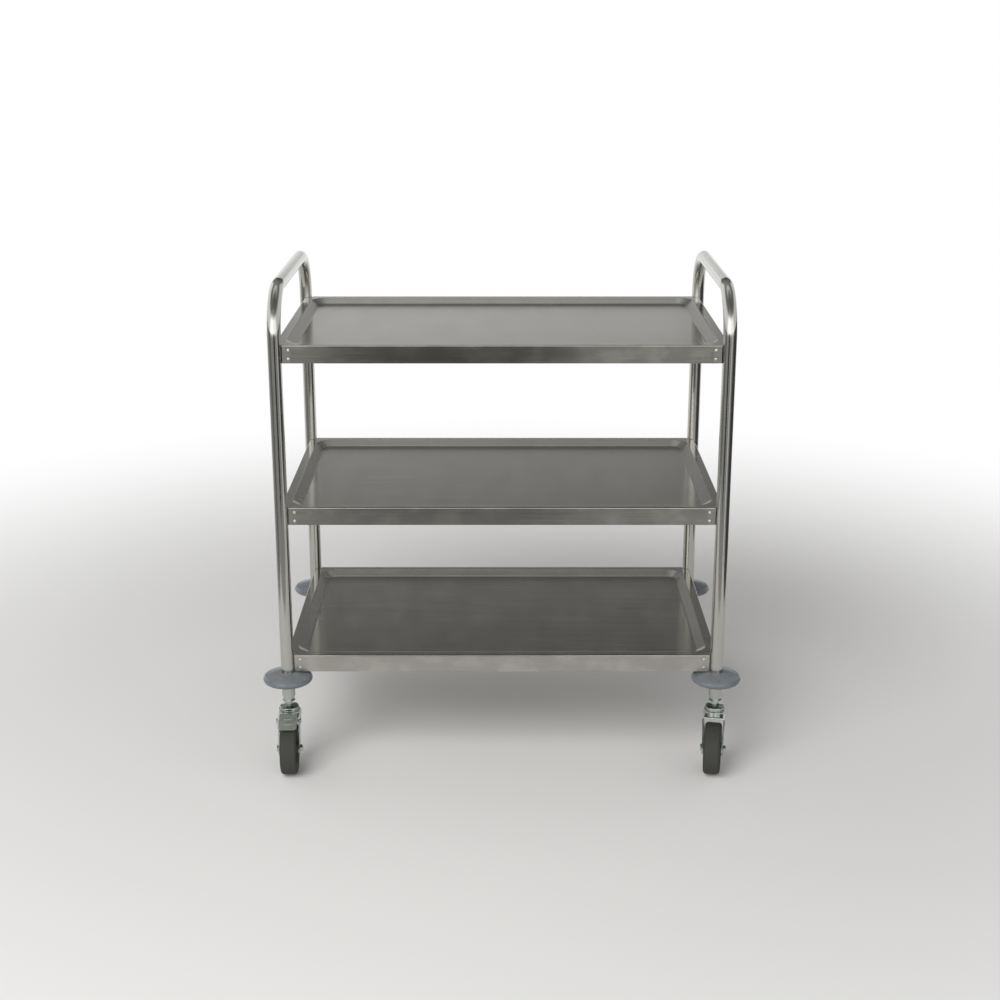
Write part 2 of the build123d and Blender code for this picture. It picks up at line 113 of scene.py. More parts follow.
class CartFinishes(bpy.types.PropertyGroup):
    """Colours and polish of the cart's materials"""

    tube_colour: bpy.props.FloatVectorProperty(
        name="Tube steel",
        description="Colour of the mirror-polished tube ends",
        subtype="COLOR",
        min=0.0,
        max=1.0,
        default=linear("#BBBAB5"),
    )
    tube_roughness: bpy.props.FloatProperty(
        name="Tube roughness",
        description="Blur of the reflections in the tube ends",
        subtype="FACTOR",
        min=0.0,
        max=1.0,
        default=0.12,
    )
    sheet_colour: bpy.props.FloatVectorProperty(
        name="Tray steel",
        description="Colour of the brushed sheet of the trays",
        subtype="COLOR",
        min=0.0,
        max=1.0,
        default=linear("#ACAAA3"),
    )
    sheet_roughness: bpy.props.FloatProperty(
        name="Tray roughness",
        description="Blur of the reflections in the tray sheet",
        subtype="FACTOR",
        min=0.0,
        max=1.0,
        default=0.20,
    )
    sheet_grain: bpy.props.FloatProperty(
        name="Grain width",
        description="Spacing of the brushed lines across the trays",
        unit="LENGTH",
        min=0.0002,
        default=0.0028,
    )
    zinc_colour: bpy.props.FloatVectorProperty(
        name="Zinc plate",
        description="Colour of the plated caster pressings and fasteners",
        subtype="COLOR",
        min=0.0,
        max=1.0,
        default=linear("#BAC1BE"),
    )
    pedal_colour: bpy.props.FloatVectorProperty(
        name="Pedal zinc",
        description="Colour of the tumbled brake pedals",
        subtype="COLOR",
        min=0.0,
        max=1.0,
        default=linear("#CCD2CA"),
    )
    bumper_colour: bpy.props.FloatVectorProperty(
        name="Bumper rubber",
        description="Colour of the round bumpers",
        subtype="COLOR",
        min=0.0,
        max=1.0,
        default=linear("#60676C"),
    )
    tyre_colour: bpy.props.FloatVectorProperty(
        name="Tyre rubber",
        description="Colour of the tyres",
        subtype="COLOR",
        min=0.0,
        max=1.0,
        default=linear("#343430"),
    )
    hub_colour: bpy.props.FloatVectorProperty(
        name="Hub plastic",
        description="Colour of the wheel centres",
        subtype="COLOR",
        min=0.0,
        max=1.0,
        default=linear("#44484A"),
    )
    pad_colour: bpy.props.FloatVectorProperty(
        name="Brake rubber",
        description="Colour of the brake pads",
        subtype="COLOR",
        min=0.0,
        max=1.0,
        default=linear("#232323"),
    )
    nylon_colour: bpy.props.FloatVectorProperty(
        name="Nylon ring",
        description="Colour of the locking rings in the axle nuts",
        subtype="COLOR",
        min=0.0,
        max=1.0,
        default=linear("#D9D7CE"),
    )


class CartDetails(bpy.types.PropertyGroup):
    """Sizes of the small pieces that are added to the solids"""

    weld_diameter: bpy.props.FloatProperty(
        name="Weld mark",
        description="Diameter of a spot-weld mark",
        unit="LENGTH",
        min=0.001,
        default=0.0055,
    )
    weld_height: bpy.props.FloatProperty(
        name="Weld height",
        description="How far a weld mark on a lip stands proud",
        unit="LENGTH",
        min=0.0001,
        default=0.0007,
    )
    lip_weld_place: bpy.props.FloatProperty(
        name="Weld place",
        description="Distance of the lip weld marks from the middle of the tray",
        unit="LENGTH",
        default=0.390,
    )
    flange_weld_pitch: bpy.props.FloatProperty(
        name="Flange weld pitch",
        description="Distance between the spot welds along a stiffener's flange",
        unit="LENGTH",
        min=0.01,
        default=0.094,
    )
    flange_weld_span: bpy.props.FloatProperty(
        name="Flange weld span",
        description="Length of a stiffener's flange along which the spot welds are spread",
        unit="LENGTH",
        min=0.01,
        default=0.68,
    )
    nut_ring_radii: bpy.props.FloatVectorProperty(
        name="Nut ring",
        description="Inner and outer radius of the nylon ring in an axle nut",
        size=2,
        unit="LENGTH",
        default=(0.00415, 0.0058),
    )
    nut_ring_place: bpy.props.FloatProperty(
        name="Nut ring place",
        description="Distance of the nut's outer face from the middle of the wheel",
        unit="LENGTH",
        default=0.02545,
    )


class CartStudio(bpy.types.PropertyGroup):
    """Camera, floor and light"""

    camera_place: bpy.props.FloatVectorProperty(
        name="Camera place",
        description="Where the camera stands",
        subtype="TRANSLATION",
        unit="LENGTH",
        default=(0.0, -3.1606, 1.4423),
    )
    camera_pitch: bpy.props.FloatProperty(
        name="Camera pitch",
        description="How far the camera looks down",
        subtype="ANGLE",
        default=math.radians(17.14),
    )
    lens: bpy.props.FloatProperty(
        name="Lens",
        description="Focal length on a sensor 36 mm wide, in millimetres",
        min=1.0,
        default=58.45,
    )
    floor_colour: bpy.props.FloatVectorProperty(
        name="Floor",
        description="Colour of the pale floor",
        subtype="COLOR",
        min=0.0,
        max=1.0,
        default=linear("#DAD9D7"),
    )
    key_power: bpy.props.FloatProperty(
        name="Key lamp",
        description="Power of the large softbox in front of the cart and above it",
        subtype="POWER",
        unit="POWER",
        min=0.0,
        default=105.0,
    )
    sky_level: bpy.props.FloatProperty(
        name="Fill light",
        description="Strength of the soft light from all around",
        min=0.0,
        default=1.0,
    )
    apron_level: bpy.props.FloatProperty(
        name="Front apron",
        description="Brightness of the grey apron in front of the picture, which the tray lips mirror",
        subtype="FACTOR",
        min=0.0,
        max=1.0,
        default=0.36,
    )
    flag_level: bpy.props.FloatProperty(
        name="Dark flag",
        description="Brightness of the dark flag in front, which the middle of each tube mirrors",
        subtype="FACTOR",
        min=0.0,
        max=1.0,
        default=0.06,
    )
    strip_level: bpy.props.FloatProperty(
        name="Pale strip",
        description="Brightness of the narrow strip at the right, which draws the light line on each tube",
        subtype="FACTOR",
        min=0.0,
        max=1.0,
        default=0.90,
    )
    left_level: bpy.props.FloatProperty(
        name="Left panel",
        description="Brightness of the panel at the left",
        subtype="FACTOR",
        min=0.0,
        max=1.0,
        default=0.34,
    )
    right_level: bpy.props.FloatProperty(
        name="Right panel",
        description="Brightness of the panel at the right",
        subtype="FACTOR",
        min=0.0,
        max=1.0,
        default=0.07,
    )


def add(tree, kind, inputs=(), **settings):
    """Adds a node, sets its properties, and sets or links its inputs, which are named or numbered."""
    made = tree.nodes.new(kind)
    for name, value in settings.items():
        setattr(made, name, value)
    for key, value in dict(inputs).items():
        if isinstance(value, bpy.types.NodeSocket):
            tree.links.new(value, made.inputs[key])
        else:
            made.inputs[key].default_value = value
    return made


def start(name):
    """New material with its tree, its shader and the Object coordinates of what wears it."""
    made = bpy.data.materials.new(name)
    made.use_nodes = True
    tree = made.node_tree
    return made, tree, tree.nodes["Principled BSDF"], add(tree, "ShaderNodeTexCoord").outputs["Object"]


def shade(colour, factor):
    """Colour with alpha, lightened or darkened by a factor."""
    return (*(min(channel * factor, 1.0) for channel in colour), 1.0)


def polished_stainless_tube(finish):
    """Mirror-polished 304 tube: sharp streaked reflections that waver a little where the belt pressed."""
    made, tree, shader, place = start("polished_stainless_tube")
    haze = add(tree, "ShaderNodeTexNoise", {"Vector": place, "Scale": 1 / 0.018, "Detail": 4.0})
    waver = add(tree, "ShaderNodeTexNoise", {"Vector": place, "Scale": 1 / 0.045, "Detail": 1.0})
    tint = add(
        tree,
        "ShaderNodeMix",
        {0: haze.outputs[0], 6: shade(finish.tube_colour, 0.93), 7: shade(finish.tube_colour, 1.05)},
        data_type="RGBA",
    )
    blur = add(
        tree,
        "ShaderNodeMapRange",
        {
            0: haze.outputs[0],
            1: 0.3,
            2: 0.7,
            3: finish.tube_roughness - 0.03,
            4: finish.tube_roughness + 0.04,
        },
    )
    bump = add(tree, "ShaderNodeBump", {"Height": waver.outputs[0], "Distance": 0.00025, "Strength": 0.25})
    tree.links.new(tint.outputs[2], shader.inputs["Base Color"])
    tree.links.new(blur.outputs[0], shader.inputs["Roughness"])
    tree.links.new(bump.outputs[0], shader.inputs["Normal"])
    shader.inputs["Metallic"].default_value = 1.0
    return made


def brushed_stainless_sheet(finish, details):
    """Belt-brushed 304 sheet: its lengthwise grain smears reflections up and down, edges stay crisp.

    Faint clouds and lip smears come from handling. The grain runs up the end walls of the dish, where
    the press has dulled them only a little, and there the colour is painted a shade darker and without
    grain: painted shade for the dark reflection in those walls. The lip is ground paler where its ends
    are welded. The grain of about 0.1 mm is too fine for the picture, so it is drawn at the width that
    the finish gives.
    """
    made, tree, shader, place = start("brushed_stainless_sheet")
    fine = 1 / finish.sheet_grain
    lines = add(tree, "ShaderNodeMapping", {"Vector": place, "Scale": (1 / 0.16, fine, fine)})
    grain = add(tree, "ShaderNodeTexNoise", {"Vector": lines.outputs[0], "Scale": 1.0, "Detail": 3.0})
    wiped = add(tree, "ShaderNodeMapping", {"Vector": place, "Scale": (1 / 0.045, 1 / 0.15, 1 / 0.03)})
    cloud = add(tree, "ShaderNodeTexNoise", {"Vector": wiped.outputs[0], "Scale": 1.0, "Detail": 4.0})
    mixed = add(tree, "ShaderNodeMix", {0: 0.45, 2: grain.outputs[0], 3: cloud.outputs[0]}, data_type="FLOAT")
    tint = add(
        tree,
        "ShaderNodeMix",
        {0: mixed.outputs[0], 6: shade(finish.sheet_colour, 0.70), 7: shade(finish.sheet_colour, 1.30)},
        data_type="RGBA",
    )
    facing = add(tree, "ShaderNodeSeparateXYZ", {0: add(tree, "ShaderNodeNewGeometry").outputs["Normal"]})
    lean = add(tree, "ShaderNodeMath", {0: facing.outputs[0]}, operation="ABSOLUTE")
    slope = add(
        tree,
        "ShaderNodeMapRange",
        {0: lean.outputs[0], 1: 0.12, 2: 0.45},
        interpolation_type="SMOOTHSTEP",
    )
    upward = add(tree, "ShaderNodeMath", {0: facing.outputs[2], 1: 0.7}, operation="GREATER_THAN")
    drawn = add(tree, "ShaderNodeMath", {0: slope.outputs[0], 1: upward.outputs[0]}, operation="MULTIPLY")
    # Painted shade: the end walls of the dish get one colour, a shade darker than the sheet and without
    # grain, for the dark reflection in them. Their dulling by the press is only the extra roughness below.
    pressed = add(
        tree,
        "ShaderNodeMix",
        {0: drawn.outputs[0], 6: tint.outputs[2], 7: shade(finish.sheet_colour, 0.95)},
        data_type="RGBA",
    )
    parts = add(tree, "ShaderNodeSeparateXYZ", {"Vector": place})
    along = add(tree, "ShaderNodeMath", {0: parts.outputs[0]}, operation="ABSOLUTE")
    across = add(tree, "ShaderNodeMath", {0: parts.outputs[1]}, operation="ABSOLUTE")
    end = details.lip_weld_place
    far = add(
        tree,
        "ShaderNodeMapRange",
        {0: along.outputs[0], 1: end - 0.006, 2: end - 0.001},
        interpolation_type="SMOOTHSTEP",
    )
    on_lip = add(tree, "ShaderNodeMath", {0: across.outputs[0], 1: LIP_EDGE}, operation="GREATER_THAN")
    ground = add(tree, "ShaderNodeMath", {0: far.outputs[0], 1: on_lip.outputs[0]}, operation="MULTIPLY")
    paler = add(
        tree,
        "ShaderNodeMix",
        {0: ground.outputs[0], 6: pressed.outputs[2], 7: shade(finish.sheet_colour, 1.06)},
        data_type="RGBA",
    )
    touch = add(tree, "ShaderNodeMapRange", {0: cloud.outputs[0], 1: 0.50, 2: 0.66})
    smear = add(tree, "ShaderNodeMath", {0: touch.outputs[0], 1: on_lip.outputs[0]}, operation="MULTIPLY")
    smeared = add(
        tree,
        "ShaderNodeMix",
        {0: smear.outputs[0], 6: paler.outputs[2], 7: shade(finish.sheet_colour, 1.16)},
        data_type="RGBA",
    )
    blur = add(
        tree,
        "ShaderNodeMapRange",
        {
            0: mixed.outputs[0],
            1: 0.3,
            2: 0.7,
            3: finish.sheet_roughness - 0.02,
            4: finish.sheet_roughness + 0.03,
        },
    )
    worked = add(
        tree, "ShaderNodeMath", {0: ground.outputs[0], 1: 0.6, 2: drawn.outputs[0]}, operation="MULTIPLY_ADD"
    )
    rougher = add(
        tree, "ShaderNodeMath", {0: worked.outputs[0], 1: 0.05, 2: blur.outputs[0]}, operation="MULTIPLY_ADD"
    )
    bump = add(tree, "ShaderNodeBump", {"Height": grain.outputs[0], "Distance": 0.00005, "Strength": 0.12})
    across_grain = add(tree, "ShaderNodeCombineXYZ", {1: 1.0, 2: 0.2})
    tree.links.new(smeared.outputs[2], shader.inputs["Base Color"])
    tree.links.new(rougher.outputs[0], shader.inputs["Roughness"])
    tree.links.new(bump.outputs[0], shader.inputs["Normal"])
    tree.links.new(across_grain.outputs[0], shader.inputs["Tangent"])
    shader.inputs["Metallic"].default_value = 1.0
    shader.inputs["Anisotropic"].default_value = 0.6
    return made


def zinc_plate(name, colour, roughness):
    """Zinc on pressed steel: a cool, slightly cloudy shine with a hint of yellow in the passivation.

    Bright from the bath it mirrors crisply, and tumbled it is satin. The pits of the pressing are drawn
    coarser than their 0.1 mm to show.
    """
    made, tree, shader, place = start(name)
    cloud = add(tree, "ShaderNodeTexNoise", {"Vector": place, "Scale": 1 / 0.009, "Detail": 3.0})
    pits = add(tree, "ShaderNodeTexNoise", {"Vector": place, "Scale": 1 / 0.0012, "Detail": 2.0})
    yellow = tuple(channel * tone for channel, tone in zip(colour, (0.97, 0.96, 0.91)))
    tint = add(
        tree,
        "ShaderNodeMix",
        {0: cloud.outputs[0], 6: shade(yellow, 0.9), 7: shade(colour, 1.05)},
        data_type="RGBA",
    )
    blur = add(
        tree,
        "ShaderNodeMapRange",
        {0: cloud.outputs[0], 1: 0.3, 2: 0.7, 3: roughness - 0.04, 4: roughness + 0.04},
    )
    bump = add(tree, "ShaderNodeBump", {"Height": pits.outputs[0], "Distance": 0.00004, "Strength": 0.06})
    tree.links.new(tint.outputs[2], shader.inputs["Base Color"])
    tree.links.new(blur.outputs[0], shader.inputs["Roughness"])
    tree.links.new(bump.outputs[0], shader.inputs["Normal"])
    shader.inputs["Metallic"].default_value = 1.0
    return made


def weld_nugget_painted_glint(finish):
    """Spot-weld steel upset by the electrode, frosted, coloured far paler than the sheet: a painted glint."""
    made, tree, shader, place = start("weld_nugget_painted_glint")
    frost = add(tree, "ShaderNodeTexNoise", {"Vector": place, "Scale": 1 / 0.003, "Detail": 2.0})
    # Painted highlight: 1.7 to 2.2 times the sheet's colour, so that the little weld marks show as bright
    # glints.
    tint = add(
        tree,
        "ShaderNodeMix",
        {0: frost.outputs[0], 6: shade(finish.sheet_colour, 1.7), 7: shade(finish.sheet_colour, 2.2)},
        data_type="RGBA",
    )
    blur = add(tree, "ShaderNodeMapRange", {0: frost.outputs[0], 3: 0.38, 4: 0.52})
    tree.links.new(tint.outputs[2], shader.inputs["Base Color"])
    tree.links.new(blur.outputs[0], shader.inputs["Roughness"])
    shader.inputs["Metallic"].default_value = 1.0
    return made


def blue_grey_bumper_rubber(finish):
    """Moulded rubber: smooth skin with a soft sheen, faintly mottled, dusty where it faces up."""
    made, tree, shader, place = start("blue_grey_bumper_rubber")
    mottle = add(tree, "ShaderNodeTexNoise", {"Vector": place, "Scale": 1 / 0.014, "Detail": 4.0})
    skin = add(tree, "ShaderNodeTexNoise", {"Vector": place, "Scale": 1 / 0.0008, "Detail": 2.0})
    tint = add(
        tree,
        "ShaderNodeMix",
        {0: mottle.outputs[0], 6: shade(finish.bumper_colour, 0.85), 7: shade(finish.bumper_colour, 1.15)},
        data_type="RGBA",
    )
    facing = add(tree, "ShaderNodeSeparateXYZ", {0: add(tree, "ShaderNodeNewGeometry").outputs["Normal"]})
    dust = add(tree, "ShaderNodeMapRange", {0: facing.outputs[2], 1: 0.6, 2: 1.0, 3: 0.0, 4: 0.18})
    dusty = add(
        tree,
        "ShaderNodeMix",
        {0: dust.outputs[0], 6: tint.outputs[2], 7: (*linear("#8F9090"), 1.0)},
        data_type="RGBA",
    )
    blur = add(tree, "ShaderNodeMapRange", {0: mottle.outputs[0], 3: 0.22, 4: 0.36})
    bump = add(tree, "ShaderNodeBump", {"Height": skin.outputs[0], "Distance": 0.00003, "Strength": 0.2})
    tree.links.new(dusty.outputs[2], shader.inputs["Base Color"])
    tree.links.new(blur.outputs[0], shader.inputs["Roughness"])
    tree.links.new(bump.outputs[0], shader.inputs["Normal"])
    return made


def wheel_coordinates(tree, place, caster):
    """Object coordinates turned and centred on one wheel: X along its axle, with distance from it."""
    joint = JOINTS[f"{caster}_wheel_roll"]
    turn = math.atan2(joint["axis"][1], joint["axis"][0])
    centred = add(tree, "ShaderNodeVectorMath", {0: place, 1: joint["pos_m"]}, operation="SUBTRACT")
    own = add(tree, "ShaderNodeMapping", {"Vector": centred.outputs[0], "Rotation": (0.0, 0.0, -turn)})
    parts = add(tree, "ShaderNodeSeparateXYZ", {0: own.outputs[0]})
    flat = add(tree, "ShaderNodeVectorMath", {0: own.outputs[0], 1: (0.0, 1.0, 1.0)}, operation="MULTIPLY")
    reach = add(tree, "ShaderNodeVectorMath", {0: flat.outputs[0]}, operation="LENGTH")
    return parts.outputs[0], reach.outputs["Value"]


def grey_tyre_rubber(finish, caster):
    """Non-marking rubber: matt, scuffed in rings by rolling, with a paler worn tread."""
    made, tree, shader, place = start(f"grey_tyre_rubber_{caster}")
    axial, reach = wheel_coordinates(tree, place, caster)
    rings = add(tree, "ShaderNodeCombineXYZ", {0: axial, 1: reach})
    scuff = add(tree, "ShaderNodeTexNoise", {"Vector": rings.outputs[0], "Scale": 1 / 0.0022, "Detail": 3.0})
    crumb = add(tree, "ShaderNodeTexNoise", {"Vector": place, "Scale": 1 / 0.0016, "Detail": 3.0})
    mixed = add(tree, "ShaderNodeMix", {0: 0.45, 2: scuff.outputs[0], 3: crumb.outputs[0]}, data_type="FLOAT")
    tint = add(
        tree,
        "ShaderNodeMix",
        {0: mixed.outputs[0], 6: shade(finish.tyre_colour, 0.78), 7: shade(finish.tyre_colour, 1.2)},
        data_type="RGBA",
    )
    worn = add(
        tree,
        "ShaderNodeMapRange",
        {0: reach, 1: 0.0488, 2: 0.0499, 3: 0.0, 4: 0.45},
        interpolation_type="SMOOTHSTEP",
    )
    dusty = add(
        tree,
        "ShaderNodeMix",
        {0: worn.outputs[0], 6: tint.outputs[2], 7: shade(finish.tyre_colour, 1.3)},
        data_type="RGBA",
    )
    bump = add(tree, "ShaderNodeBump", {"Height": mixed.outputs[0], "Distance": 0.00025, "Strength": 0.35})
    tree.links.new(dusty.outputs[2], shader.inputs["Base Color"])
    tree.links.new(bump.outputs[0], shader.inputs["Normal"])
    shader.inputs["Roughness"].default_value = 0.72
    shader.inputs["Specular IOR Level"].default_value = 0.35
    return made


def moulded_plastic(name, colour, roughness):
    """Injection-moulded plastic: an even, fine-grained satin skin with slow changes of tone."""
    made, tree, shader, place = start(name)
    tone = add(tree, "ShaderNodeTexNoise", {"Vector": place, "Scale": 1 / 0.02, "Detail": 2.0})
    skin = add(tree, "ShaderNodeTexNoise", {"Vector": place, "Scale": 1 / 0.0007, "Detail": 2.0})
    tint = add(
        tree,
        "ShaderNodeMix",
        {0: tone.outputs[0], 6: shade(colour, 0.88), 7: shade(colour, 1.12)},
        data_type="RGBA",
    )
    blur = add(tree, "ShaderNodeMapRange", {0: skin.outputs[0], 3: roughness - 0.06, 4: roughness + 0.06})
    bump = add(tree, "ShaderNodeBump", {"Height": skin.outputs[0], "Distance": 0.00004, "Strength": 0.25})
    tree.links.new(tint.outputs[2], shader.inputs["Base Color"])
    tree.links.new(blur.outputs[0], shader.inputs["Roughness"])
    tree.links.new(bump.outputs[0], shader.inputs["Normal"])
    return made


def upright(first, last, top):
    """Corners of a wall that stands on the floor between two points."""
    return [(*first, 0.0), (*last, 0.0), (*last, top), (*first, top)]


def coat(made, *names):
    """Puts one material on each named solid."""
    for name in names:
        frame["nodes"][name].material_slots[0].material = made


def of_casters(*endings):
    """Names of the solids of all casters with these endings, where a caster has them."""
    names = [f"{caster}_{ending}" for caster in CASTERS for ending in endings]
    return [name for name in names if name in frame["nodes"]]


def piece(name, points, faces, made, body):
    """New smooth mesh at the origin: poles merged, faces turned outwards, riding on a body of the cart."""
    mesh = bpy.data.meshes.new(name)
    mesh.from_pydata(points.reshape(-1, 3).tolist(), [], faces.reshape(-1, 4).tolist())
    form = bmesh.new()
    form.from_mesh(mesh)
    bmesh.ops.remove_doubles(form, verts=form.verts, dist=1e-7)
    bmesh.ops.recalc_face_normals(form, faces=form.faces)
    form.to_mesh(mesh)
    form.free()
    mesh.shade_smooth()
    mesh.materials.append(made)
    obj = bpy.data.objects.new(name, mesh)
    bpy.context.scene.collection.objects.link(obj)
    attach(obj, body)


def square_to(axes):
    """Two unit vectors square to each axis, from the world axis that axis leans on least."""
    least = np.eye(3)[np.argmin(np.abs(axes), axis=1)]
    first = np.cross(axes, least)
    first /= np.linalg.norm(first, axis=1, keepdims=True)
    return first, np.cross(axes, first)


def turned(outline, places, axes, sides):
    """Beads or rings of revolution at many places, as points and faces.

    With unit vectors a and b square to an axis n, the point of an outline (radius, height) at angle t is
    place + radius * (cos t * a + sin t * b) + height * n, for all places, outline points and angles at once.
    An outline that starts and ends on the axis makes a bead, and one that comes back to its start makes
    a ring.
    """
    outline = np.asarray(outline, float)
    places = np.asarray(places, float)
    axes = np.asarray(axes, float)
    first, second = square_to(axes)
    angle = np.linspace(0.0, 2 * math.pi, sides, endpoint=False)
    around = (
        np.cos(angle)[None, :, None] * first[:, None, :]
        + np.sin(angle)[None, :, None] * second[:, None, :]
    )
    points = (
        places[:, None, None, :]
        + outline[None, :, None, 0:1] * around[:, None, :, :]
        + outline[None, :, None, 1:2] * axes[:, None, None, :]
    )
    return points, grid_faces(len(places), len(outline), sides)


def grid_faces(copies, rows, columns):
    """Quads of a grid that closes on itself along its rows: each point with its next in row and column."""
    row, column = np.meshgrid(np.arange(rows - 1), np.arange(columns), indexing="ij")
    after = (column + 1) % columns
    corners = [
        row * columns + column,
        row * columns + after,
        (row + 1) * columns + after,
        (row + 1) * columns + column,
    ]
    return np.stack(corners, axis=-1)[None] + (np.arange(copies) * rows * columns)[:, None, None, None]


def bead_outline(radius, height, steps):
    """Outline of a flat bead: a crown h * cos(pi r / 2R) ** 0.8 from its middle to its edge, then below."""
    run = np.linspace(0.0, radius, steps)
    crown = height * np.cos(math.pi / 2 * run / radius).clip(0.0) ** 0.8
    return np.column_stack([np.append(run, 0.0), np.append(crown, -height / 4)])


def ring_outline(inner, outer, thick, steps):
    """Outline of a flat ring with a rounded section: the superellipse of power 4 about its middle.

    At angle u the section's point is its middle plus half its width and height, times the signed square
    roots of cos u and sin u.
    """
    turn = np.linspace(0.0, 2 * math.pi, steps)
    across, up = (np.sign(part) * np.sqrt(np.abs(part)) for part in (np.cos(turn), np.sin(turn)))
    outline = np.column_stack(
        [(inner + outer) / 2 + (outer - inner) / 2 * across, thick / 2 + thick / 2 * up]
    )
    outline[-1] = outline[0]
    return outline


class SERVICECART_OT_tube_ends(bpy.types.Operator):
    """Polish the bent tube ends"""

    bl_idname = "service_cart.tube_ends"
    bl_label = "Tube ends"

    def execute(self, context):
        coat(polished_stainless_tube(context.scene.cart_finishes), "left_frame", "right_frame")
        return {"FINISHED"}


class SERVICECART_OT_trays(bpy.types.Operator):
    """Brush the trays and their stiffeners"""

    bl_idname = "service_cart.trays"
    bl_label = "Trays"

    def execute(self, context):
        scene = context.scene
        coat(brushed_stainless_sheet(scene.cart_finishes, scene.cart_details), *TRAYS, "tray_stiffeners")
        return {"FINISHED"}


class SERVICECART_OT_weld_marks(bpy.types.Operator):
    """Set spot-weld marks on the tray lips and along the stiffener flanges"""

    bl_idname = "service_cart.weld_marks"
    bl_label = "Weld marks"

    def execute(self, context):
        details = context.scene.cart_details
        made = weld_nugget_painted_glint(context.scene.cart_finishes)
        radius = details.weld_diameter / 2
        boxes = [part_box(name) for name in TRAYS]
        lips = [
            (side * details.lip_weld_place, face, high.z - drop)
            for low, high in boxes
            for face in (low.y, high.y)
            for side in (-1, 1)
            for drop in LIP_WELD_DROPS
        ]
        outward = [(0.0, math.copysign(1.0, at[1]), 0.0) for at in lips]
        points, faces = turned(
            bead_outline(radius, details.weld_height, BEAD_STEPS), lips, outward, ROUND_SIDES
        )
        piece("lip_weld_marks", points, faces, made, "cart")
        count = int(details.flange_weld_span / details.flange_weld_pitch) + 1
        along = (np.arange(count) - (count - 1) / 2) * details.flange_weld_pitch
        flanges = [
            (x, middle + edge, high.z - FLANGE_DROP)
            for low, high in boxes
            for middle in (-STIFFENER_Y, STIFFENER_Y)
            for edge in (-FLANGE_OFFSET, FLANGE_OFFSET)
            for x in along
        ]
        downward = [(0.0, 0.0, -1.0)] * len(flanges)
        points, faces = turned(
            bead_outline(radius, details.weld_height / 2, FLANGE_BEAD_STEPS),
            flanges,
            downward,
            FLANGE_SIDES,
        )
        piece("flange_weld_marks", points, faces, made, "cart")
        return {"FINISHED"}


class SERVICECART_OT_casters(bpy.types.Operator):
    """Plate the caster pressings, stems, nuts and bolts, and ring the axle nuts with nylon"""

    bl_idname = "service_cart.casters"
    bl_label = "Casters and fasteners"

    def execute(self, context):
        finish = context.scene.cart_finishes
        made = zinc_plate("bright_zinc_plate", finish.zinc_colour, 0.18)
        endings = (
            "stem", "swivel_cap", "ball_ring", "fork", "axle_bolt", "axle_nut", "axle_sleeve", "brake_pin"
        )
        coat(made, *of_casters(*endings))
        coat(zinc_plate("tumbled_zinc_plate", finish.pedal_colour, 0.58), *of_casters("brake_pedal"))
        coat(
            made, "tray_bolts", "tray_washers", "rivet_nuts", "leg_inserts", "stem_lock_nuts", "stem_washers"
        )
        details = context.scene.cart_details
        nylon = moulded_plastic("white_nylon", finish.nylon_colour, 0.45)
        outline = ring_outline(*details.nut_ring_radii, RING_THICKNESS, RING_STEPS)
        for caster in CASTERS:
            joint = JOINTS[f"{caster}_wheel_roll"]
            axis = np.array(joint["axis"], float)
            face = np.array(joint["pos_m"], float) + details.nut_ring_place * axis
            points, faces = turned(outline, [face], [axis], ROUND_SIDES)
            piece(f"{caster}_nut_ring", points, faces, nylon, f"{caster}_swivel")
        return {"FINISHED"}


class SERVICECART_OT_wheels(bpy.types.Operator):
    """Give the tyres, wheel centres and brake pads their rubber and plastic"""

    bl_idname = "service_cart.wheels"
    bl_label = "Wheels"

    def execute(self, context):
        finish = context.scene.cart_finishes
        for caster in CASTERS:
            coat(grey_tyre_rubber(finish, caster), f"{caster}_tyre")
        coat(moulded_plastic("grey_polypropylene_hub", finish.hub_colour, 0.5), *of_casters("wheel_hub"))
        coat(moulded_plastic("black_brake_rubber", finish.pad_colour, 0.75), *of_casters("brake_pad"))
        return {"FINISHED"}


class SERVICECART_OT_bumpers(bpy.types.Operator):
    """Give the round bumpers their rubber"""

    bl_idname = "service_cart.bumpers"
    bl_label = "Bumpers"

    def execute(self, context):
        coat(blue_grey_bumper_rubber(context.scene.cart_finishes), *of_casters("bumper"))
        return {"FINISHED"}


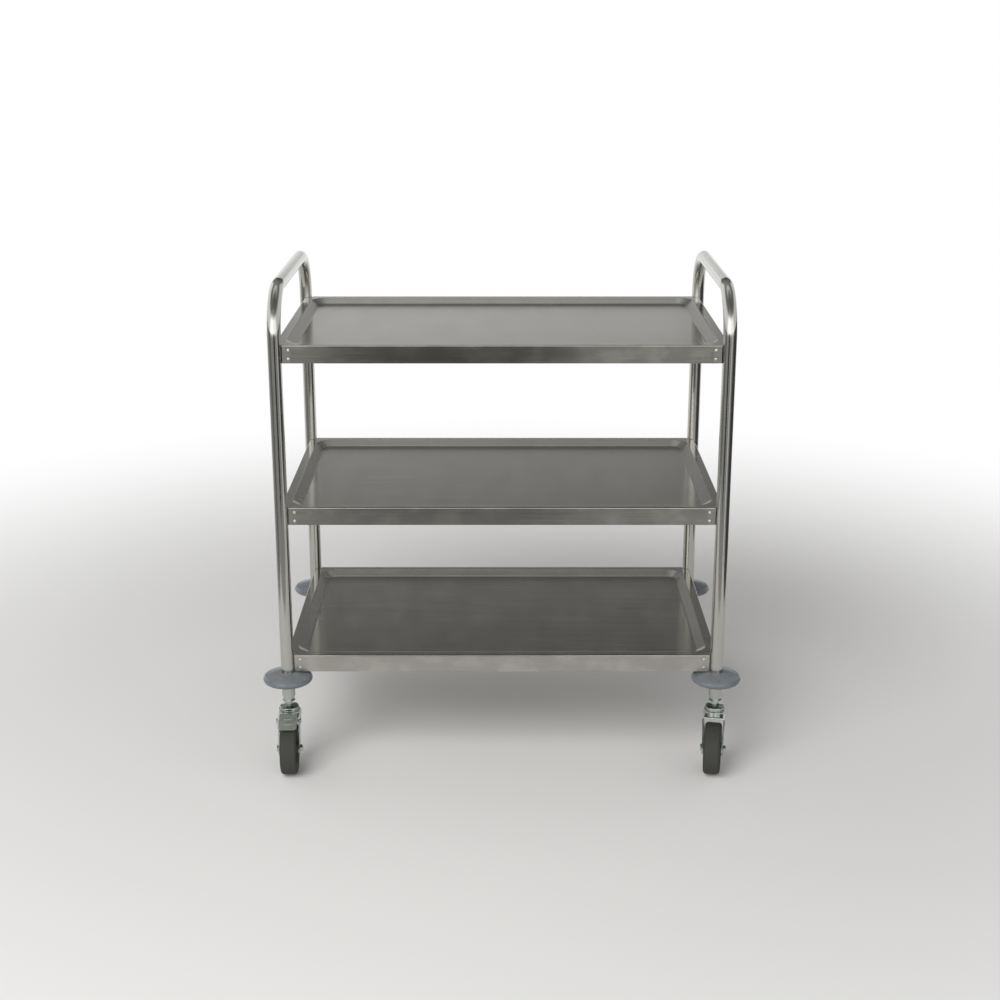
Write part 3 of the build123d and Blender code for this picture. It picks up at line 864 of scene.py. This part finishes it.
class SERVICECART_OT_studio(bpy.types.Operator):
    """Set the floor, the cards, the lamp, the world and the camera"""

    bl_idname = "service_cart.studio"
    bl_label = "Studio"

    def execute(self, context):
        studio = context.scene.cart_studio
        far = FLOOR_REACH
        floor = [(-far, -far, 0), (far, -far, 0), (far, far, 0), (-far, far, 0)]
        self.sheet("floor", floor, self.pale_floor(studio))
        apron = [
            (-far, -far, APRON_Z), (far, -far, APRON_Z), (far, APRON_Y, APRON_Z), (-far, APRON_Y, APRON_Z)
        ]
        self.card("front_apron", apron, studio.apron_level)
        self.card("dark_flag", upright(*FLAG_SPAN, CARD_TOP), studio.flag_level)
        self.card("pale_strip", upright(*STRIP_SPAN, CARD_TOP), studio.strip_level)
        self.card("left_panel", upright(*LEFT_PANEL_SPAN, CARD_TOP), studio.left_level)
        self.card(
            "left_shade", upright(*LEFT_SHADE_SPAN, CARD_TOP), LEFT_SHADE_FRACTION * studio.left_level
        )
        self.card("right_panel", upright(*RIGHT_PANEL_SPAN, CARD_TOP), studio.right_level)
        self.lamp("key_softbox", KEY_PLACE, KEY_AIM, KEY_SIZE, studio.key_power)
        self.world(studio.sky_level)
        lens = bpy.data.cameras.new("camera")
        lens.lens = studio.lens
        lens.sensor_width = 36.0
        lens.shift_x = -0.002
        lens.clip_end = 5000.0
        camera = bpy.data.objects.new("camera", lens)
        camera.location = studio.camera_place
        camera.rotation_euler = (math.pi / 2 - studio.camera_pitch, 0.0, 0.0)
        context.scene.collection.objects.link(camera)
        context.scene.camera = camera
        context.scene.view_settings.view_transform = "Standard"
        return {"FINISHED"}

    def pale_floor(self, studio):
        """Matt floor: keeps the shadow near the cart and runs to white in the distance, in mirrors too."""
        made, tree, shader, place = start("pale_floor")
        shader.inputs["Base Color"].default_value = (*studio.floor_colour, 1.0)
        shader.inputs["Roughness"].default_value = 0.9
        shader.inputs["Specular IOR Level"].default_value = 0.0
        reach = add(tree, "ShaderNodeVectorMath", {0: place}, operation="LENGTH")
        distance = add(
            tree,
            "ShaderNodeMapRange",
            {0: reach.outputs["Value"], 1: 0.8, 2: 2.6},
            interpolation_type="SMOOTHSTEP",
        )
        ray = add(tree, "ShaderNodeLightPath").outputs
        seen = add(
            tree, "ShaderNodeMath", {0: ray["Is Camera Ray"], 1: ray["Is Glossy Ray"]}, operation="ADD"
        )
        shown = add(
            tree, "ShaderNodeMath", {0: seen.outputs[0], 1: ray["Is Transmission Ray"]}, operation="MAXIMUM"
        )
        white = add(
            tree, "ShaderNodeMath", {0: distance.outputs[0], 1: shown.outputs[0]}, operation="MULTIPLY"
        )
        glow = add(tree, "ShaderNodeEmission")
        both = add(
            tree, "ShaderNodeMixShader", {0: white.outputs[0], 1: shader.outputs[0], 2: glow.outputs[0]}
        )
        tree.links.new(both.outputs[0], tree.nodes["Material Output"].inputs["Surface"])
        return made

    def sheet(self, name, corners, made):
        """Flat stage sheet from its corners."""
        mesh = bpy.data.meshes.new(name)
        mesh.from_pydata(corners, [], [(0, 1, 2, 3)])
        mesh.materials.append(made)
        obj = bpy.data.objects.new(name, mesh)
        bpy.context.scene.collection.objects.link(obj)
        return obj

    def card(self, name, corners, level):
        """Evenly bright card outside the picture that only shows in polished steel and casts no shadow."""
        made, tree, *_ = start(name)
        glow = add(tree, "ShaderNodeEmission", {"Color": (level, level, level, 1.0)})
        tree.links.new(glow.outputs[0], tree.nodes["Material Output"].inputs["Surface"])
        obj = self.sheet(name, corners, made)
        obj.visible_camera = obj.visible_diffuse = obj.visible_shadow = False

    def lamp(self, name, place, aim, size, power):
        """Rectangular softbox that faces a point."""
        light = bpy.data.lights.new(name, "AREA")
        light.shape = "RECTANGLE"
        light.size, light.size_y = size
        light.energy = power
        lamp = bpy.data.objects.new(name, light)
        lamp.location = place
        lamp.visible_camera = lamp.visible_glossy = False
        lamp.rotation_euler = (Vector(aim) - Vector(place)).to_track_quat("-Z", "Y").to_euler()
        bpy.context.scene.collection.objects.link(lamp)

    def world(self, level):
        """Soft light, white at the horizon and dim overhead: a ring above it, strong in front and softer
        at the sides, and bands on the backdrop behind for the trays."""
        world = bpy.data.worlds.new("studio_world")
        bpy.context.scene.world = world
        world.use_nodes = True
        tree = world.node_tree
        direction = add(tree, "ShaderNodeTexCoord").outputs["Generated"]
        x, y, z = add(tree, "ShaderNodeSeparateXYZ", {0: direction}).outputs
        aside = add(tree, "ShaderNodeMath", {0: x}, operation="ABSOLUTE").outputs[0]
        behind, quarter, around = (self.ramp(tree, z, stops) for stops in (BEHIND, QUARTER, AROUND))
        edge = add(
            tree, "ShaderNodeMapRange", {0: aside, 1: 0.114, 2: 0.128}, interpolation_type="SMOOTHSTEP"
        )
        inward = add(
            tree, "ShaderNodeMapRange", {0: aside, 1: 0.48, 2: 0.34}, interpolation_type="SMOOTHSTEP"
        )
        turn = add(tree, "ShaderNodeMapRange", {0: y, 1: -0.2, 2: 0.2}, interpolation_type="SMOOTHSTEP")
        share = add(tree, "ShaderNodeMath", {0: inward.outputs[0], 1: turn.outputs[0]}, operation="MULTIPLY")
        back = add(tree, "ShaderNodeMix", {0: edge.outputs[0], 2: behind, 3: quarter}, data_type="FLOAT")
        front = add(tree, "ShaderNodeMapRange", {0: y, 1: -0.75, 2: -0.45, 3: 1.3, 4: 0.65})
        ring = add(tree, "ShaderNodeMath", {0: around, 1: front.outputs[0]}, operation="MULTIPLY").outputs[0]
        whole = add(
            tree, "ShaderNodeMix", {0: share.outputs[0], 2: ring, 3: back.outputs[0]}, data_type="FLOAT"
        )
        lean = add(tree, "ShaderNodeMapRange", {0: x, 1: -0.15, 2: 0.15, 3: 1.12 * level, 4: 0.86 * level})
        graded = add(tree, "ShaderNodeMath", {0: whole.outputs[0], 1: lean.outputs[0]}, operation="MULTIPLY")
        rise = add(tree, "ShaderNodeMapRange", {0: z, 1: 0.05, 2: 0.09}, interpolation_type="SMOOTHSTEP")
        strength = add(
            tree, "ShaderNodeMix", {0: rise.outputs[0], 2: 1.0, 3: graded.outputs[0]}, data_type="FLOAT"
        )
        background = tree.nodes["Background"]
        background.inputs["Color"].default_value = (1.0, 1.0, 1.0, 1.0)
        tree.links.new(strength.outputs[0], background.inputs["Strength"])

    def ramp(self, tree, height, stops):
        """Brightness by the sine of the elevation."""
        made = add(tree, "ShaderNodeValToRGB", {0: height})
        elements = made.color_ramp.elements
        while len(elements) < len(stops):
            elements.new(0.5)
        for element, (position, level) in zip(elements, stops):
            element.position = position
            element.color = (level, level, level, 1.0)
        return made.outputs[0]


class SERVICECART_PT_sidebar(bpy.types.Panel):
    """Finishes, details and studio of the service cart"""

    bl_idname = "SERVICECART_PT_sidebar"
    bl_label = "Service Cart"
    bl_space_type = "VIEW_3D"
    bl_region_type = "UI"
    bl_category = "Service Cart"

    def draw(self, context):
        for operator in OPERATORS:
            self.layout.operator(operator.bl_idname)
        for group in ("cart_finishes", "cart_details", "cart_studio"):
            values = getattr(context.scene, group)
            for name in values.__annotations__:
                self.layout.prop(values, name)


GROUPS = {"cart_finishes": CartFinishes, "cart_details": CartDetails, "cart_studio": CartStudio}
OPERATORS = (
    SERVICECART_OT_tube_ends,
    SERVICECART_OT_trays,
    SERVICECART_OT_weld_marks,
    SERVICECART_OT_casters,
    SERVICECART_OT_wheels,
    SERVICECART_OT_bumpers,
    SERVICECART_OT_studio,
)


def register():
    for name, group in GROUPS.items():
        bpy.utils.register_class(group)
        setattr(bpy.types.Scene, name, bpy.props.PointerProperty(type=group))
    for made in (*OPERATORS, SERVICECART_PT_sidebar):
        bpy.utils.register_class(made)


def unregister():
    for made in (SERVICECART_PT_sidebar, *reversed(OPERATORS)):
        bpy.utils.unregister_class(made)
    for name, group in GROUPS.items():
        delattr(bpy.types.Scene, name)
        bpy.utils.unregister_class(group)


def main():
    """Registers the add-on, dresses the cart and sets the studio."""
    register()
    bpy.ops.service_cart.tube_ends()
    bpy.ops.service_cart.trays()
    bpy.ops.service_cart.weld_marks()
    bpy.ops.service_cart.casters()
    bpy.ops.service_cart.wheels()
    bpy.ops.service_cart.bumpers()
    bpy.ops.service_cart.studio()


if __name__ == "__main__":
    main()
